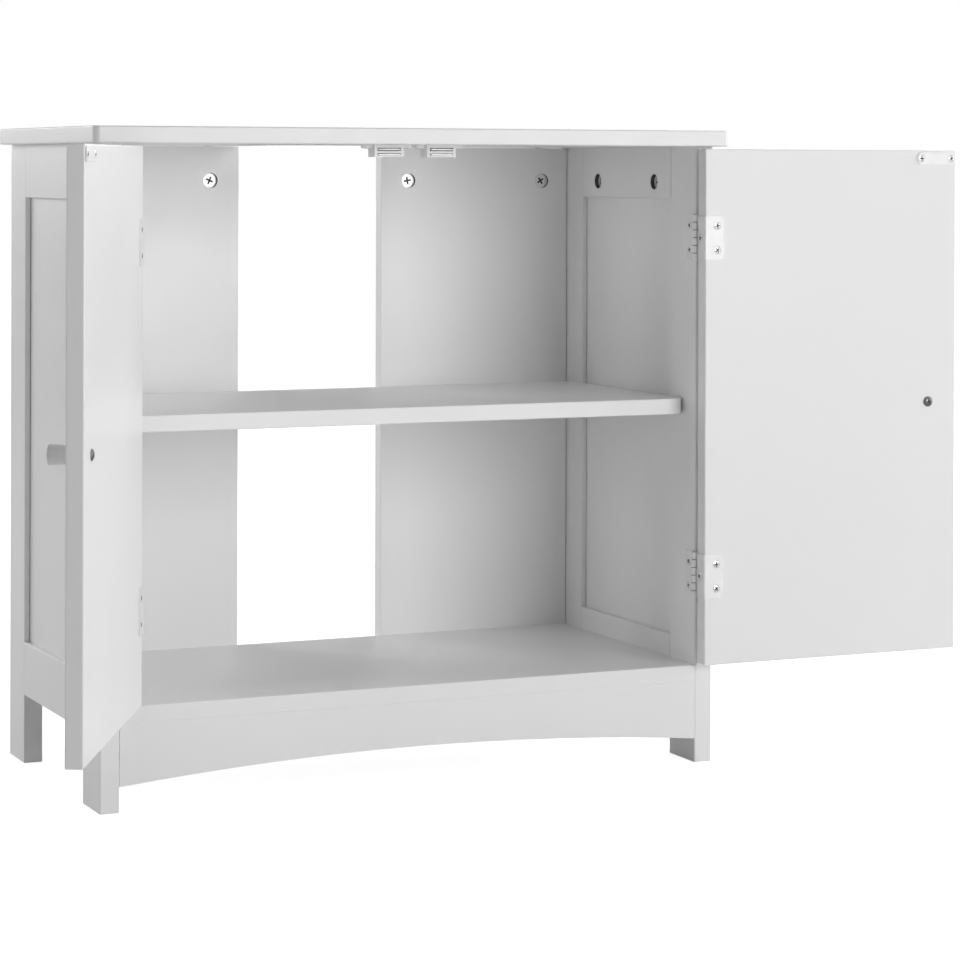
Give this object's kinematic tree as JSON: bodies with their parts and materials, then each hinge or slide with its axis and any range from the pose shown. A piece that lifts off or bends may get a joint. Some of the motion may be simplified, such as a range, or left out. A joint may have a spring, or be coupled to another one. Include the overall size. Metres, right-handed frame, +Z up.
{
  "type": "vanity base cabinet",
  "caption": "White under-basin cabinet on legs, with framed sides, two inset hinged doors, a loose shelf, magnetic catches and a top notched at the back for pipes.",
  "frame": {"origin": "on the floor, at the middle of the four legs", "axes": "+Z up, -Y out of the front, +X to the right of someone facing the front"},
  "size_m": [0.976, 0.5551, 0.6],
  "materials": {
    "board_lacquer": "satin white lacquer on fibreboard",
    "frame_lacquer": "satin white lacquer on wood",
    "door_lacquer": "satin white lacquer on fibreboard",
    "knob_lacquer": "satin white lacquer, turned",
    "nickel_plate": "bright nickel plate",
    "screw_steel": "zinc plated",
    "pole_steel": "plain",
    "cam_zinc": "die-cast, nickel plated",
    "catch_plastic": "moulded white",
    "magnet_ferrite": "sintered ferrite",
    "beech_dowel": "raw beech"
  },
  "bodies": {
    "left_door": {"left_door": "door_lacquer", "left_door_leaf_screws": "screw_steel", "left_knob": "knob_lacquer", "left_knob_screw": "screw_steel", "left_lower_hinge_door_leaf": "nickel_plate", "left_strike_plate": "nickel_plate", "left_strike_screws": "screw_steel", "left_upper_hinge_door_leaf": "nickel_plate"},
    "right_door": {"right_door": "door_lacquer", "right_door_leaf_screws": "screw_steel", "right_knob": "knob_lacquer", "right_knob_screw": "screw_steel", "right_lower_hinge_door_leaf": "nickel_plate", "right_strike_plate": "nickel_plate", "right_strike_screws": "screw_steel", "right_upper_hinge_door_leaf": "nickel_plate"},
    "cabinet": {"back_cam_locks": "cam_zinc", "board_dowels": "beech_dowel", "bottom_cam_bolts": "screw_steel", "bottom_cam_locks": "cam_zinc", "bottom_panel": "board_lacquer", "catch_magnets": "magnet_ferrite", "catch_screws": "screw_steel", "frame_leaf_screws": "screw_steel", "front_apron": "board_lacquer", "front_left_leg": "frame_lacquer", "front_right_leg": "frame_lacquer", "hinge_pins": "nickel_plate", "left_back_panel": "board_lacquer", "left_bottom_rail": "frame_lacquer", "left_catch_housing": "catch_plastic", "left_catch_poles": "pole_steel", "left_lower_hinge_frame_leaf": "nickel_plate", "left_side_panel": "frame_lacquer", "left_top_rail": "frame_lacquer", "left_upper_hinge_frame_leaf": "nickel_plate", "rear_left_leg": "frame_lacquer", "rear_right_leg": "frame_lacquer", "right_back_panel": "board_lacquer", "right_bottom_rail": "frame_lacquer", "right_catch_housing": "catch_plastic", "right_catch_poles": "pole_steel", "right_lower_hinge_frame_leaf": "nickel_plate", "right_side_panel": "frame_lacquer", "right_top_rail": "frame_lacquer", "right_upper_hinge_frame_leaf": "nickel_plate", "shelf": "board_lacquer", "shelf_pegs": "nickel_plate", "side_cam_locks": "cam_zinc", "side_frame_dowels": "beech_dowel", "top_cam_bolts": "screw_steel", "top_panel": "board_lacquer"}
  },
  "joints": [
    {"name": "left_door_hinge", "type": "hinge", "parent": "cabinet", "child": "left_door", "pos_m": [-0.2818, -0.15, 0.3385], "axis": [0, 0, -1], "range_deg": [-117, 63]},
    {"name": "right_door_hinge", "type": "hinge", "parent": "cabinet", "child": "right_door", "pos_m": [0.2818, -0.15, 0.3385], "axis": [0, 0, 1], "range_deg": [-180, 0]}
  ]
}
